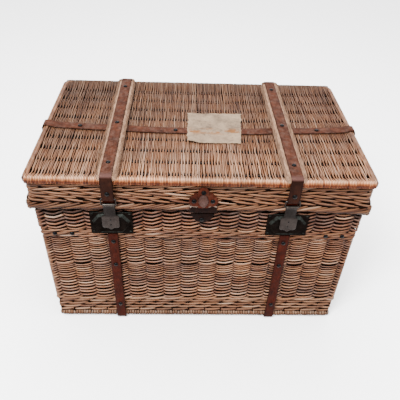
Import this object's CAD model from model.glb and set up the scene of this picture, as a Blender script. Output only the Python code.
# %% [markdown]
# An old willow travelling trunk with a leather-strapped lid and two hasp locks. The packed
# CAD model is the frame: every piece here is placed by the boxes of its nodes, in metres.
# What the eye reads as basketwork is hundreds of separate rods, so most of this lesson
# makes rods and sends them over and under each other.

# %% Load the frame and keep its box
import math
from contextlib import contextmanager

import bpy
import numpy as np
from mathutils import Matrix, Vector


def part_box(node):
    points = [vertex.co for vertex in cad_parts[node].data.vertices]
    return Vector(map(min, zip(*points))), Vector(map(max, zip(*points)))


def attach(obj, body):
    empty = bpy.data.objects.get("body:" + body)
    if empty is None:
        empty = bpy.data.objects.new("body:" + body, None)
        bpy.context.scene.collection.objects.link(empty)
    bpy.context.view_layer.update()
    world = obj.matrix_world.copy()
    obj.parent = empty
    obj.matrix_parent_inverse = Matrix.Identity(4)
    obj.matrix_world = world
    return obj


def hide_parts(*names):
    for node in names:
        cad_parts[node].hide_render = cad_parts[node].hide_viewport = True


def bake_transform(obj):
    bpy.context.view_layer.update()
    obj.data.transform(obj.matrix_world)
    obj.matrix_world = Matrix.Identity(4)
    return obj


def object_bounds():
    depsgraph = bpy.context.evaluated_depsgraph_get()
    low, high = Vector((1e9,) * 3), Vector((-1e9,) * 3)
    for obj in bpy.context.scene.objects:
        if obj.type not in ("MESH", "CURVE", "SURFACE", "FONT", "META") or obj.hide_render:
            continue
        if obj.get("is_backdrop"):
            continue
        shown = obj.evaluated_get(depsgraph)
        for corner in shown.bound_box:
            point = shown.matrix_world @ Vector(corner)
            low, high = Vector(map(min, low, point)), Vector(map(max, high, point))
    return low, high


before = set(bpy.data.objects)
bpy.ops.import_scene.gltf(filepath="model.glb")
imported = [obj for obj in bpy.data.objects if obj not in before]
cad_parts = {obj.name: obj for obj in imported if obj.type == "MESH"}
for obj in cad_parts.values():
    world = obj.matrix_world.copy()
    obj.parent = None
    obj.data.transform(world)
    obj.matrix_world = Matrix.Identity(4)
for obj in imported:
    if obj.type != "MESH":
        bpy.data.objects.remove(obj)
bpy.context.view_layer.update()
draws = np.random.default_rng(11)

# %% [markdown]
# Operators act on everything that is selected, and loading leaves the nodes selected. So
# each helper here selects for itself. The others add a primitive, enter and leave edit
# mode, apply a modifier as soon as it is set up, and join pieces into one.

# %% Selecting and editing
SIDE_OF = {"left": -1, "right": 1}


def pick(piece, *others):
    """Selects only these pieces, and makes the first one active."""
    bpy.ops.object.select_all(action="DESELECT")
    for chosen in (piece, *others):
        chosen.select_set(True)
    bpy.context.view_layer.objects.active = piece


def primitive(name, add, **settings):
    """A new piece from one of Blender's primitives."""
    bpy.ops.object.select_all(action="DESELECT")
    add(**settings)
    bpy.context.object.name = name
    return bpy.context.object


def box_piece(name, middle, size):
    """A cube scaled to a box."""
    piece = primitive(name, bpy.ops.mesh.primitive_cube_add, size=1, location=middle, scale=size)
    bpy.ops.object.transform_apply(location=True, rotation=True, scale=True)
    return piece


@contextmanager
def editing():
    """Edit mode for the active piece."""
    bpy.ops.object.mode_set(mode="EDIT")
    yield
    bpy.ops.object.mode_set(mode="OBJECT")


def change(piece, kind, **settings):
    """Adds a modifier, sets it up and applies it."""
    modifier = piece.modifiers.new("change", kind)
    for key, value in settings.items():
        setattr(modifier, key, value)
    bpy.ops.object.modifier_apply(modifier="change")


def smooth(degrees):
    """Smooth shading for edges flatter than an angle."""
    bpy.ops.object.shade_smooth_by_angle(angle=math.radians(degrees))


def join(pieces, name):
    """Makes one piece of several."""
    pick(*pieces)
    bpy.ops.object.join()
    pieces[0].name = name
    return pieces[0]


def finished(piece, body, finish, replaced=()):
    """Gives a piece its material and body, and says which CAD nodes it stands for."""
    piece.data.materials.clear()
    piece.data.materials.append(finish)
    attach(piece, body)
    if replaced:
        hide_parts(*replaced)
    return piece


# %% [markdown]
# A basket maker measures along the wall, round the corners and back to the start. The same
# is done here: a distance round a rounded rectangle is turned into a place on the floor
# plan, so one formula for a rod carries it round the whole trunk.

# %% Distances round the trunk
SIDES_OF_PLAN = 4


def round_length(half_x, half_y, corner):
    """Length of the rounded rectangle."""
    straight = 2 * SIDES_OF_PLAN * ((half_x + half_y) / 2 - corner)
    return straight + 2 * math.pi * corner


def round_place(distance, plan, out=0.0):
    """x and y at a distance from the front's middle to the right, moved out of the plan."""
    half_x, half_y, corner = plan
    turn = math.pi / 2 * corner
    sides = (2 * (half_x - corner), 2 * (half_y - corner)) * 2
    corners = (
        (corner - half_x, -half_y),
        (half_x, corner - half_y),
        (half_x - corner, half_y),
        (-half_x, half_y - corner),
    )
    along = np.mod(distance + sides[0] / 2, round_length(*plan))
    out = np.broadcast_to(out, along.shape)
    x, y = np.zeros(along.shape), np.zeros(along.shape)
    begin = 0.0
    for number, (length, start) in enumerate(zip(sides, corners)):
        heading = number * math.pi / 2
        way = (math.cos(heading), math.sin(heading))
        on_side = (along >= begin) & (along < begin + length)
        gone = along[on_side] - begin
        x[on_side] = start[0] + way[0] * gone + way[1] * out[on_side]
        y[on_side] = start[1] + way[1] * gone - way[0] * out[on_side]
        begin += length
        on_turn = (along >= begin) & (along < begin + turn)
        angle = heading - math.pi / 2 + (along[on_turn] - begin) / corner
        middle_x = start[0] + way[0] * length - way[1] * corner
        middle_y = start[1] + way[1] * length + way[0] * corner
        x[on_turn] = middle_x + (corner + out[on_turn]) * np.cos(angle)
        y[on_turn] = middle_y + (corner + out[on_turn]) * np.sin(angle)
        begin += turn
    return x, y


# %% [markdown]
# A rod needs few points along a straight wall and more of them where it goes round a
# corner, so every row of distances gets extra ones there.

# %% More points at the corners
CORNER_POINTS = 7
CORNER_SPREAD = 0.62
CLOSEST_POINTS = 0.0012


def corner_middles(plan):
    """Distances of the four corners' middles."""
    half_x, half_y, corner = plan
    turn = math.pi / 2 * corner
    sides = (2 * (half_x - corner), 2 * (half_y - corner)) * 2
    return np.cumsum([length + turn for length in sides]) - turn / 2 - sides[0] / 2


def with_corners(distances, plan):
    """The distances of a closed round, with more of them at the corners."""
    reach = CORNER_SPREAD * math.pi / 2 * plan[2]
    extra = corner_middles(plan)[:, None] + np.linspace(-reach, reach, CORNER_POINTS)
    together = np.sort(np.concatenate([distances, extra.ravel()]) % round_length(*plan))
    apart = np.diff(together, prepend=together[-1] - round_length(*plan)) > CLOSEST_POINTS
    return together[apart]


def corner_gap(distance, plan):
    """How far a distance is from the nearest corner's middle."""
    total = round_length(*plan)
    gaps = (np.asarray(distance)[..., None] - corner_middles(plan) + total / 2) % total - total / 2
    return np.abs(gaps).min(axis=-1)


# %% [markdown]
# A willow rod is a curve with a round bevel: thick at the butt, thin at the tip. All rods
# of a piece are splines of one curve object, which is then converted to a mesh. Each rod
# also keeps two numbers for its finish: its tint, and how sheltered each of its points is,
# because dirt stays where neither hands nor a brush can reach. The converted mesh lists
# the end caps first, the last rod's before the others', and then each rod's points.

# %% Rods
ROD_SIDES = 6
CAP_GAP = 1e-6


def rod(points, radius, tint, closed=False, shelter=0.0):
    """One rod; radius, tint and shelter may change along it."""
    return points, radius, tint, closed, shelter


def make_rods(name, rods, sides=ROD_SIDES):
    """One mesh of round rods from tuples made by rod()."""
    curve = bpy.data.curves.new(name, "CURVE")
    curve.dimensions = "3D"
    curve.bevel_depth = 1.0
    curve.bevel_resolution = (sides - 4) // 2
    curve.use_fill_caps = True
    along = {"tint": [], "shelter": []}
    ends = {"tint": [], "shelter": []}
    for points, radius, tint, closed, shelter in rods:
        count = len(points)
        spline = curve.splines.new("POLY")
        spline.points.add(count - 1)
        spline.points.foreach_set("co", np.column_stack([points, np.ones(count)]).ravel())
        spline.points.foreach_set("radius", np.broadcast_to(radius, count).astype(float))
        spline.use_cyclic_u = closed
        for key, values in (("tint", tint), ("shelter", shelter)):
            values = np.broadcast_to(values, count)
            along[key].append(values)
            if not closed:
                ends[key].append([values[-1], values[0]])
    bundle = bpy.data.objects.new(name, curve)
    bpy.context.scene.collection.objects.link(bundle)
    pick(bundle)
    bpy.ops.object.convert(target="MESH")
    for key, values in along.items():
        in_order = np.concatenate([*ends[key][::-1], *values])
        attribute = bundle.data.attributes.new(key, "FLOAT", "POINT")
        attribute.data.foreach_set("value", np.repeat(in_order, sides).astype(np.float32))
    with editing():
        bpy.ops.mesh.select_all(action="SELECT")
        bpy.ops.mesh.remove_doubles(threshold=CAP_GAP)
    bpy.ops.object.shade_smooth()
    faces = sum(len(face.vertices) - 2 for face in bundle.data.polygons)
    print(name, "has", len(rods), "rods and", faces, "triangles")
    return bundle


# %% [markdown]
# Finishes are node trees. A few short helpers keep them readable: each adds one node and
# returns its output, so a finish reads from coordinates to colour like a recipe.

# %% Helpers for finishes
class Finish:
    """A material under construction."""

    def __init__(self, name, roughness, metallic=0.0, shine=0.16):
        self.material = bpy.data.materials.new(name)
        self.material.use_nodes = True
        self.tree = self.material.node_tree
        self.shader = self.tree.nodes["Principled BSDF"]
        self.shader.inputs["Roughness"].default_value = roughness
        self.shader.inputs["Metallic"].default_value = metallic
        self.shader.inputs["Specular IOR Level"].default_value = shine

    def add(self, kind, inputs=None, **settings):
        node = self.tree.nodes.new(kind)
        for key, value in settings.items():
            setattr(node, key, value)
        for key, value in (inputs or {}).items():
            if isinstance(value, bpy.types.NodeSocket):
                self.tree.links.new(value, node.inputs[key])
            else:
                node.inputs[key].default_value = value
        return node

    def place(self, stretch=(1, 1, 1)):
        """Object coordinates in metres, stretched."""
        where = self.add("ShaderNodeTexCoord")
        moved = self.add("ShaderNodeMapping", {"Vector": where.outputs["Object"]})
        moved.inputs["Scale"].default_value = stretch
        return moved.outputs["Vector"]

    def noise(self, scale, stretch=(1, 1, 1), detail=3.0, roughness=0.55):
        node = self.add("ShaderNodeTexNoise", {
            "Vector": self.place(stretch),
            "Scale": scale,
            "Detail": detail,
            "Roughness": roughness,
        })
        return node.outputs["Fac"]

    def up(self):
        """From 0 where the surface faces down to 1 where it faces up."""
        where = self.add("ShaderNodeTexCoord")
        split = self.add("ShaderNodeSeparateXYZ", {"Vector": where.outputs["Normal"]})
        return self.sum(self.sum(split.outputs["Z"], 0.5, "MULTIPLY"), 0.5)

    def coordinate(self, axis, shift=0.5):
        """One object coordinate in metres, plus a shift that keeps it above zero."""
        split = self.add("ShaderNodeSeparateXYZ", {"Vector": self.place()})
        return self.sum(split.outputs[axis], shift)

    def kept(self, name):
        """A number that the mesh keeps for each of its points."""
        return self.add("ShaderNodeAttribute", attribute_name=name).outputs["Fac"]

    def ramp(self, value, stops):
        """Colours or greys along a value; each stop is a place and a colour."""
        node = self.add("ShaderNodeValToRGB", {"Fac": value})
        row = node.color_ramp.elements
        while len(row) < len(stops):
            row.new(0.5)
        for element, (place, colour) in zip(row, stops):
            element.position = place
            grey = isinstance(colour, (int, float))
            element.color = (colour, colour, colour, 1) if grey else (*colour, 1)
        return node.outputs["Color"]

    def mix(self, factor, first, second, blend="MIX"):
        node = self.add("ShaderNodeMix", data_type="RGBA", blend_type=blend)
        for socket, value in ((node.inputs[0], factor), (node.inputs[6], first), (node.inputs[7], second)):
            if isinstance(value, bpy.types.NodeSocket):
                self.tree.links.new(value, socket)
            elif isinstance(value, tuple):
                socket.default_value = (*value, 1)
            else:
                socket.default_value = value
        return node.outputs[2]

    def shade(self, colour, value, stops, share=1.0):
        """Multiplies a colour by a ramp over a value."""
        return self.mix(share, colour, self.ramp(value, stops), "MULTIPLY")

    def sum(self, first, second, operation="ADD"):
        node = self.add("ShaderNodeMath", {0: first, 1: second}, operation=operation)
        return node.outputs["Value"]

    def set(self, socket, value):
        self.tree.links.new(value, self.shader.inputs[socket])

    def bump(self, height, distance, strength=1.0):
        """Raises the surface by a height; repeated calls add up."""
        inputs = {"Height": height, "Distance": distance, "Strength": strength}
        if self.shader.inputs["Normal"].links:
            inputs["Normal"] = self.shader.inputs["Normal"].links[0].from_socket
        node = self.add("ShaderNodeBump", inputs)
        self.set("Normal", node.outputs["Normal"])


# %% [markdown]
# Willow is stripped and steamed to a red-brown, and handled rods polish to gold while
# thin tips turn grey. The tint picks the colour, long streaks follow the fibre, and a slow
# noise dirties whole patches. Dust lies on what faces up, and what faces down or lies
# deep in the weave stays dark.

# %% Willow finishes
DARK_WILLOW = (0.010, 0.0028, 0.0014)
RED_WILLOW = (0.042, 0.0130, 0.0048)
GOLD_WILLOW = (0.096, 0.0408, 0.0175)
PALE_WILLOW = (0.150, 0.0860, 0.0510)
GREY_WILLOW = (0.088, 0.0650, 0.0580)
FIBRE = 260.0
ACROSS_FIBRE = 0.035
WILLOWS = (DARK_WILLOW, RED_WILLOW, GOLD_WILLOW, PALE_WILLOW, GREY_WILLOW)
WILLOW_TINTS = list(zip((0.0, 0.3, 0.6, 0.8, 1.0), WILLOWS))
FACING_ON_WALLS = [
    (0.14, (0.050, 0.022, 0.010)),
    (0.42, (0.45, 0.27, 0.165)),
    (0.64, (0.93, 0.82, 0.74)),
    (0.88, (1.42, 1.46, 1.55)),
]
FACING_ON_LID = [
    (0.14, (0.40, 0.25, 0.16)),
    (0.52, (0.31, 0.170, 0.104)),
    (0.82, (0.80, 0.62, 0.50)),
    (0.97, (1.68, 1.66, 1.70)),
]
SHELTERED = [(0.32, 1.0), (0.50, 0.56), (0.64, 0.15), (0.80, 0.025)]
FRONT_TO_REAR = [(0.224, (2.70, 2.50, 2.20)), (0.240, (1.12, 1.12, 1.10)), (0.44, 0.75), (0.78, 0.46)]
LEFT_TO_RIGHT = [(0.07, 0.72), (0.30, 1.0)]


def willow(name, dust, dust_colour, fibre_axis, roughness, light, flat=False):
    """Rods of one tint each, with streaks along the fibre, dust on top and dirt below."""
    finish = Finish(name, roughness, shine=0.075)
    colour = finish.ramp(finish.kept("tint"), WILLOW_TINTS)
    stretch = tuple(1.0 if axis == fibre_axis else ACROSS_FIBRE for axis in "xyz")
    streaks = finish.noise(FIBRE, stretch, 4.0, 0.7)
    colour = finish.shade(colour, streaks, [(0.3, 0.40 * light), (0.55, light), (0.75, 1.4 * light)], 0.8)
    colour = finish.shade(colour, finish.noise(9.0, detail=5.0), [(0.3, 0.58), (0.6, 1.1)], 0.8)
    faces_up = finish.up()
    settled = finish.ramp(finish.noise(26.0, detail=6.0, roughness=0.7), [(0.42, 0.15 * dust), (0.66, dust)])
    settled = finish.sum(settled, finish.ramp(faces_up, [(0.45, 0.25), (0.9, 1.0)]), "MULTIPLY")
    colour = finish.mix(settled, colour, dust_colour)
    colour = finish.shade(colour, faces_up, FACING_ON_LID if flat else FACING_ON_WALLS)
    if flat:
        outside = finish.ramp(faces_up, [(0.28, 0.0), (0.42, 1.0)])
    else:
        normal = finish.add("ShaderNodeTexCoord").outputs["Normal"]
        facing_out = finish.add("ShaderNodeVectorMath", {
            0: finish.place((1, 1, 0)),
            1: normal,
        }, operation="DOT_PRODUCT").outputs["Value"]
        outside = finish.ramp(finish.sum(facing_out, 0.5), [(0.42, 0.0), (0.48, 1.0)])
    shelter = finish.sum(finish.kept("shelter"), outside, "MULTIPLY")
    colour = finish.shade(colour, shelter, SHELTERED)
    if flat:
        colour = finish.shade(colour, finish.coordinate("Y"), FRONT_TO_REAR)
        colour = finish.shade(colour, finish.coordinate("X"), LEFT_TO_RIGHT)
    finish.set("Base Color", colour)
    finish.set("Roughness", finish.ramp(streaks, [(0.3, roughness + 0.2), (0.7, roughness - 0.06)]))
    finish.bump(streaks, 0.0006, 0.5)
    return finish.material


wall_willow = willow("wall_willow", 0.32, (0.118, 0.086, 0.070), "z", 0.40, 1.0)
wale_willow = willow("wale_willow", 0.25, (0.095, 0.062, 0.044), "z", 0.38, 0.78)
border_willow = willow("border_willow", 0.05, (0.074, 0.043, 0.027), "z", 0.38, 0.46)
lid_willow = willow("lid_willow", 0.5, (0.072, 0.047, 0.034), "x", 0.48, 0.83, flat=True)
base_willow = willow("base_willow", 0.4, (0.080, 0.052, 0.036), "x", 0.6, 0.5)

# %% [markdown]
# The plan of each level comes from the boxes of the CAD nodes. The stakes stand on a
# spacing that divides the loop into an even number, so that a rod which goes over one and
# under one comes back on the right side of its first stake.

# %% Plans, levels and stakes
def plan_of(node, corner):
    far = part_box(node)[1]
    return (far.x, far.y, corner)


def levels_of(node):
    """Where a node begins and ends in height."""
    low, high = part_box(node)
    return low.z, high.z


WALL_CORNER = 0.012
LID_CORNER = 0.022
STAKES = 54
WALL_MIDDLE = 0.0075
ROD_SWING = 0.0048
body_plan = plan_of("base_panel", WALL_CORNER)
collar_plan = plan_of("rim_border", WALL_CORNER)
skirt_plan = plan_of("lid_skirt", LID_CORNER)
border_plan = plan_of("lid_border", LID_CORNER)
stake_step = round_length(*body_plan) / STAKES
print("stakes every", round(stake_step * 1000, 1), "mm")

# %% [markdown]
# Plain siding is randing: each rod goes in front of one stake and behind the next, and the
# row above does the opposite. A rod bends sharply where it crosses a stake, sags a little
# there, and ends each stroke higher than it began it, so a stroke seen from the front is a
# shallow V that leans up to the right.

# %% Siding rows
STROKE_SAMPLES = np.array([-1.0, -0.74, -0.40, 0.0, 0.40, 0.74, 1.0])
STROKE_WAVE = np.array([0.0, 0.80, 0.98, 1.0, 0.98, 0.80, 0.0])
STROKE_NOISE = 0.00045
TINT_SPREAD = 0.12
LIGHTEST = 0.78
WEATHERED_STROKES = 0.03
DARKER_ENDS = 0.35
FLUSH_REACH = 0.011
FLUSH_DEPTH = 0.0003


def siding_rows(
    plan, heights, radii, tints, swing=ROD_SWING, middle=WALL_MIDDLE, dip=0.0038, tilt=0.0024, first=0,
):
    """Closed rows of rods over and under the stakes."""
    step = round_length(*plan) / STAKES
    even = (np.arange(STAKES)[:, None] + 0.5 + STROKE_SAMPLES[:-1] / 2) * step
    distance = with_corners(even.ravel(), plan)
    stakes = np.floor(distance / step + 1e-6).astype(int) % STAKES
    part = 2 * (distance / step - stakes) - 1
    wave = np.interp(part, STROKE_SAMPLES, STROKE_WAVE)
    column_dip = dip * draws.uniform(0.6, 1.25, STAKES)[stakes]
    rows = []
    for number, (height, radius, tint) in enumerate(zip(heights, radii, tints)):
        before = (stakes + number + first) % 2 == 0
        way = np.where(before, 1.0, -1.0)
        lean = tilt * draws.uniform(0.6, 1.3, STAKES)[stakes]
        lift = way * lean * part - np.where(before, column_dip, 0.0) * (0.6 - np.abs(part))
        lift += draws.normal(0, STROKE_NOISE, STAKES)[stakes]
        flush = np.clip(1.5 - corner_gap(distance, plan) / FLUSH_REACH, 0, 1)
        out = (way * swing * wave - middle) * (1 - flush) - (radius + FLUSH_DEPTH) * flush
        x, y = round_place(distance, plan, out)
        shade = np.clip(tint + draws.normal(0, TINT_SPREAD, STAKES), 0.05, LIGHTEST)
        weathered = draws.random(STAKES) < WEATHERED_STROKES
        shade = np.where(weathered, draws.uniform(LIGHTEST, 0.90, STAKES), shade)[stakes]
        ending = np.where(before, np.clip(np.abs(part) - 0.5, 0, 0.5) * DARKER_ENDS, 0.0)
        shelter = (1 - way * wave) / 2 * (1 - flush) + 0.3 * flush
        thick = radius * draws.uniform(0.9, 1.08, STAKES)[stakes]
        points = np.column_stack([x, y, height + lift])
        rows.append(rod(points, thick, np.maximum(shade - ending, 0.05), True, shelter))
    return rows


def course(bottom, top, count, fine, coarse):
    """Heights and radii of a course whose rods start thick at the bottom and thin upwards."""
    pitch = np.linspace(coarse, fine, count)
    pitch *= (top - bottom) / pitch.sum()
    heights = bottom + np.cumsum(pitch) - pitch / 2
    return heights, pitch


side_low, side_high = levels_of("siding_front")
COURSE_SPLIT = 0.585
RADIUS_OF_PITCH = 0.41
split = side_low + (side_high - side_low) * COURSE_SPLIT
for name, bottom, top, count, fine, coarse, replaced in (
    ("siding_rods_low", side_low, split, 27, 3.7, 7.3, ["siding_front", "siding_rear"]),
    ("siding_rods_high", split, side_high, 23, 3.4, 6.6, ["siding_left", "siding_right"]),
):
    heights, pitch = course(bottom, top, count, fine, coarse)
    radii = np.clip(pitch * RADIUS_OF_PITCH, 0.0015, 0.0027)
    tints = np.interp(np.arange(count), [0, count * 0.4, count], [0.58, 0.53, 0.48])
    siding = make_rods(name, siding_rows(body_plan, heights, radii, tints))
    finished(siding, "trunk", wall_willow, replaced)

upper_low, upper_high = levels_of("upper_siding_front")
UPPER_FLARE = 0.004
upper_plan = (body_plan[0] + UPPER_FLARE, *body_plan[1:])
UPPER_ROWS = 10
heights = np.linspace(upper_low + 0.004, upper_high - 0.002, UPPER_ROWS)
tints = np.linspace(0.43, 0.28, UPPER_ROWS)
upper = make_rods("upper_siding_rods", siding_rows(
    upper_plan, heights, np.full(UPPER_ROWS, 0.0027), tints, dip=0.0056, tilt=0.0030,
))
finished(upper, "trunk", wall_willow, [
    "upper_siding_" + wall for wall in ("front", "rear", "left", "right")
])

# %% [markdown]
# Wales are rows of thick rods that bind the stakes. A stroke starts low behind the wall,
# comes out, climbs to the right over a stake or two and tucks in again above the start of
# the next one. The same stroke, longer and steeper, makes the rope-like borders. Behind
# the strokes lie plain rounds, which the strokes' hidden halves would fill.

# %% Wale strokes
STROKE_STEPS = np.array([0.0, 0.06, 0.16, 0.3, 0.5, 0.7, 0.84, 0.94, 1.0])
FINE_STEPS = np.linspace(0, 1, 21)
WEATHERED_WALES = 0.04
WALE_SPREAD = 0.11
STROKE_SHIFT = 0.03
LIFT_NOISE = 0.0005
TUCK_CURVE = 2.4
THINNER_ENDS = 0.3
ROUND_NOISE = 0.0004


def wale_strokes(plan, height, reach, rise, radius, tint, out=0.0, tuck=0.008, phase=0.0):
    """One stroke a stake: reach in stake steps, rise in metres, ends tucked in."""
    step = round_length(*plan) / STAKES
    strokes = []
    for number in range(STAKES):
        middle = (number + phase + draws.normal(0, STROKE_SHIFT)) * step
        bends = corner_gap(middle, plan) < (reach / 2 + 0.4) * step
        steps = FINE_STEPS if bends else STROKE_STEPS
        from_middle = np.abs(2 * steps - 1)
        along = middle + (steps - 0.5) * reach * step
        sunk = radius + tuck * from_middle ** TUCK_CURVE
        lift = rise * (steps - 0.5) * draws.uniform(0.85, 1.15) + draws.normal(0, LIFT_NOISE)
        x, y = round_place(along, plan, out - sunk)
        shade = np.clip(tint + draws.normal(0, WALE_SPREAD), 0.1, LIGHTEST)
        if draws.random() < WEATHERED_WALES:
            shade = draws.uniform(0.80, 0.88)
        thick = radius * (1 - THINNER_ENDS * from_middle ** 3) * draws.uniform(0.88, 1.08)
        points = np.column_stack([x, y, height + lift])
        strokes.append(rod(points, thick, shade, False, 0.8 * from_middle ** 3))
    return strokes


def back_rounds(plan, heights, out, radius, tint=0.3):
    """Plain closed rounds, deep in the weave."""
    step = round_length(*plan) / STAKES
    along = with_corners(np.arange(STAKES * 2) * step / 2, plan)
    rounds = []
    for height in heights:
        x, y = round_place(along, plan, out + draws.normal(0, ROUND_NOISE, len(along)))
        z = height + draws.normal(0, ROUND_NOISE, len(along))
        rounds.append(rod(np.column_stack([x, y, z]), radius, tint, True, 0.8))
    return rounds


wale_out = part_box("mid_wale")[1].x - body_plan[0]
wale_low, wale_high = levels_of("mid_wale")
WALE_REACH = 1.6
rods = []
for share, phase, tint in ((0.16, 0.1, 0.44), (0.42, 0.62, 0.55), (0.68, 0.2, 0.50)):
    height = wale_low + (wale_high - wale_low) * share
    rods += wale_strokes(body_plan, height, WALE_REACH, 0.0085, 0.0031, tint, wale_out, phase=phase)
upper_rows = wale_high - np.array([0.0060, 0.0010])
rods += siding_rows(body_plan, upper_rows, np.full(2, 0.0026), np.full(2, 0.5), dip=0.0040)
deep_trunk = back_rounds(body_plan, np.arange(wale_low + 0.003, wale_high, 0.0052), -0.0085, 0.0028)
finished(make_rods("mid_wale_rods", rods), "trunk", wale_willow, ["mid_wale"])

foot_low, foot_high = levels_of("foot_wale")
FOOT_ROWS = 5
rods = []
for number in range(FOOT_ROWS):
    height = foot_low + (foot_high - foot_low) * (number + 0.5) / FOOT_ROWS
    top_row = number == FOOT_ROWS - 1
    out = wale_out if top_row else -0.0015
    tint = 0.72 if top_row else 0.60
    rise = 0.0095 if top_row else 0.0070
    rods += wale_strokes(body_plan, height, WALE_REACH, rise, 0.0039, tint, out, phase=0.37 * number)
deep_trunk += back_rounds(body_plan, np.arange(foot_low + 0.003, foot_high, 0.0054), -0.0088, 0.0030)
finished(make_rods("foot_wale_rods", rods), "trunk", wale_willow, ["foot_wale"])

# %% [markdown]
# The stakes are the uprights that everything is woven on. They show only in the gaps, and
# step in with the collar.

# %% Stakes
base_low, base_high = levels_of("base_panel")
collar_low, collar_high = levels_of("collar")
rim_low, rim_high = levels_of("rim_border")
COLLAR_STEP = 0.016
STAKE_RADIUS = 0.0032
POST_RADIUS = 0.0078
POST_FOOT = 0.012
COLLAR_MIDDLE = 0.006
rods = []
collar_step = round_length(*collar_plan) / STAKES
for number in range(STAKES):
    low_x, low_y = round_place(np.array([(number + 0.5) * stake_step]), body_plan, -WALL_MIDDLE)
    high_x, high_y = round_place(np.array([(number + 0.5) * collar_step]), collar_plan, -COLLAR_MIDDLE)
    points = [
        (low_x[0], low_y[0], base_low + POST_FOOT),
        (low_x[0], low_y[0], collar_low),
        (high_x[0], high_y[0], collar_low + COLLAR_STEP),
        (high_x[0], high_y[0], rim_high - 0.006),
    ]
    rods.append(rod(np.array(points), STAKE_RADIUS, 0.1, False, 0.7))
post_x, post_y = body_plan[0] - WALL_CORNER, body_plan[1] - WALL_CORNER
for x, y in ((-post_x, -post_y), (post_x, -post_y), (post_x, post_y), (-post_x, post_y)):
    points = np.array([(x, y, base_low + POST_FOOT), (x, y, collar_low)])
    rods.append(rod(points, POST_RADIUS, 0.3, False, 0.4))
stakes = make_rods("stakes", rods)

# %% [markdown]
# The collar is fine siding that the lid hides when it is shut, and the rim on it is a
# small plait.

# %% Collar and rim
COLLAR_ROWS = 14
heights = np.linspace(collar_low + 0.003, collar_high - 0.002, COLLAR_ROWS)
step_share = np.clip((heights - collar_low) / COLLAR_STEP, 0, 1)
rods = []
for number, (height, share) in enumerate(zip(heights, step_share)):
    plan = tuple(low + (high - low) * share for low, high in zip(body_plan, collar_plan))
    rods += siding_rows(plan, [height], [0.0026], [0.46], 0.0034, COLLAR_MIDDLE, first=number)
collar = make_rods("collar_rods", rods)
finished(collar, "trunk", wall_willow, ["collar"])

RIM_REACH = 1.9
RIM_ROD = 0.0031
rim_line = (rim_low + rim_high) / 2
rods = wale_strokes(collar_plan, rim_line, RIM_REACH, 0.0085, RIM_ROD, 0.6, tuck=0.006)
rods += wale_strokes(
    collar_plan, rim_line + 0.0014, RIM_REACH, 0.005, RIM_ROD, 0.5, -0.0045, tuck=0.003, phase=0.5,
)
rods += back_rounds(collar_plan, (rim_low + 0.003, rim_high - 0.0035), -0.0085, 0.003, 0.5)
rim = make_rods("rim_plait", rods)
finished(rim, "trunk", wale_willow, ["rim_border"])

# %% [markdown]
# The lid's rods run from front to back over cross sticks, and roll over the front and rear
# edges. Between the edges the weave has sunk over the years, and the rods that dip under a
# stick leave the rows of dark holes.

# %% The lid's shape
lid_low, lid_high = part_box("lid_panel")
lid_plan = (lid_high.x, lid_high.y, LID_CORNER)
lid_top, lid_bottom = lid_high.z, lid_low.z
LID_ROD = 0.0022
LID_PITCH = 0.0039
LID_DIVE = 0.0070
LID_CREST = 0.0012
LID_CROSSING = 0.0094
STICKS = 9
STICK_FIRST = -0.237
STICK_STEP = 0.0562
EDGE_SINK = 0.0045
EDGE_WIDTH = 0.03
FIELD_SAG = 0.0055
BATTEN_OUT = 0.235
ROLL = 0.009


def eased(share):
    """A share from 0 to 1 that starts and ends gently."""
    return share * share * (3 - 2 * share)


def lid_level(x, y):
    """Height of the woven field's top, below the rolled edges and sagging in its middle."""
    half_x, half_y = lid_plan[0] - ROLL, lid_plan[1] - ROLL
    in_x = np.clip((half_x - np.abs(x)) / EDGE_WIDTH, 0, 1)
    in_y = np.clip((half_y - np.abs(y)) / EDGE_WIDTH, 0, 1)
    belly = np.clip(1 - (x / half_x) ** 2, 0, 1) * np.clip(1 - (y / half_y) ** 2, 0, 1)
    slats = 1 - 0.75 * np.exp(-((np.abs(x) - BATTEN_OUT) / 0.04) ** 2)
    return lid_top - EDGE_SINK * eased(in_x) * eased(in_y) - FIELD_SAG * belly * slats


def reach_at(x, plan):
    """How far a plan's edge is from its middle line at x, round corners included."""
    half_x, half_y, corner = plan
    over = np.clip(np.abs(x) - (half_x - corner), 0, corner)
    return half_y - (corner - math.sqrt(corner ** 2 - over ** 2))


# %% [markdown]
# Each rod starts under the front edge, rolls up and over it, crosses the field and rolls
# down again at the rear. It dives under every second stick, and its neighbour under the
# others. A rod's tint changes where a new one was laid in, and hands have worn the front
# edge pale.

# %% The lid's rods
ROLL_ANGLES = np.radians([90, 62, 34, 8, -18])
EDGE_TINTS = np.array([0.16, 0.26, 0.12, 0.02, -0.20, 0.0, 0.0])
EDGE_SHELTER = np.array([0.0, 0.0, 0.0, 0.0, 0.0, 0.4, 0.8])
STICK_SHARES = np.array([-0.5, -0.28, -0.15, 0.0, 0.15, 0.28])
SHALLOW_DIVES = 0.38


def field_and_edges(edge, field):
    """Numbers or points of a whole rod: an edge, the field and the same edge at the rear."""
    rear = edge * (1, -1, 1) if edge.ndim > 1 else edge
    return np.concatenate([edge[::-1], field, rear])


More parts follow.
